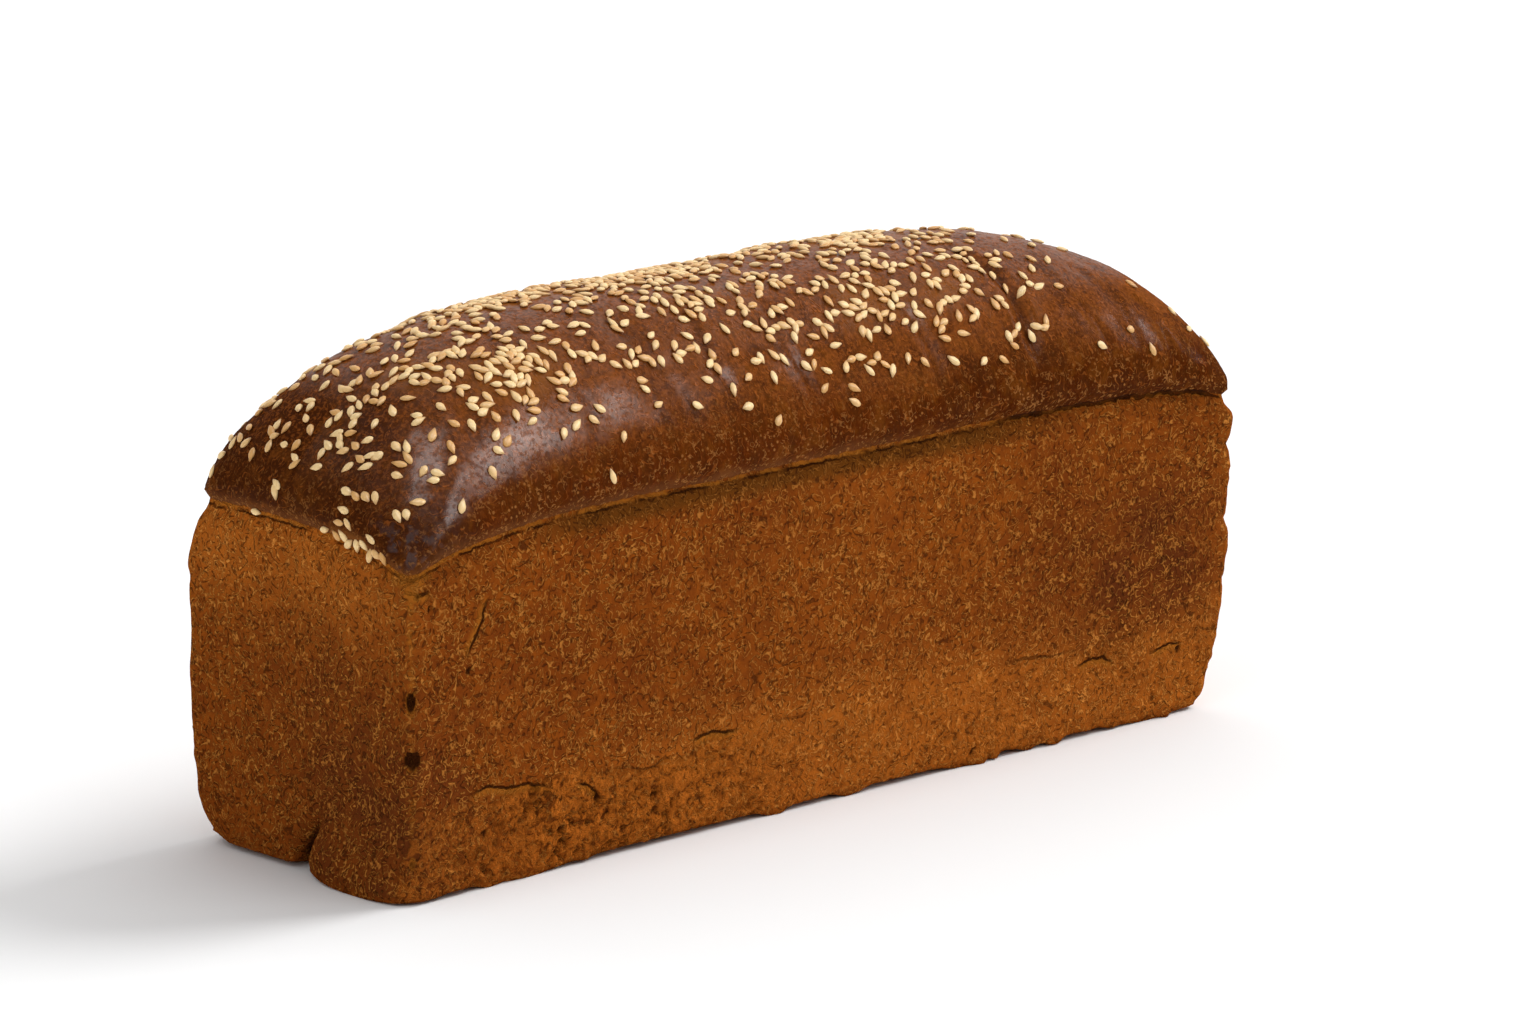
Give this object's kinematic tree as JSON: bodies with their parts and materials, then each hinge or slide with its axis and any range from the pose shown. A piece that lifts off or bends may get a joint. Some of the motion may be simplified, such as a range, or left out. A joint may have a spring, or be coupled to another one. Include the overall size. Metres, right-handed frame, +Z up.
{
  "type": "brioche loaf",
  "caption": "Tall tin-baked brioche loaf with straight sides and a dark glossy domed crown strewn with sesame seeds.",
  "frame": {"origin": "centre of the base, on the table", "axes": "+X along the loaf, -Y towards the long side with the crumbly lower edge, +Z up"},
  "size_m": [0.3117, 0.0921, 0.1429],
  "materials": {
    "crust": "baked crust: satin chocolate-brown crown, matte orange-brown tin sides, cream sesame seeds"
  },
  "bodies": {
    "root": {"loaf": "crust"}
  },
  "joints": []
}
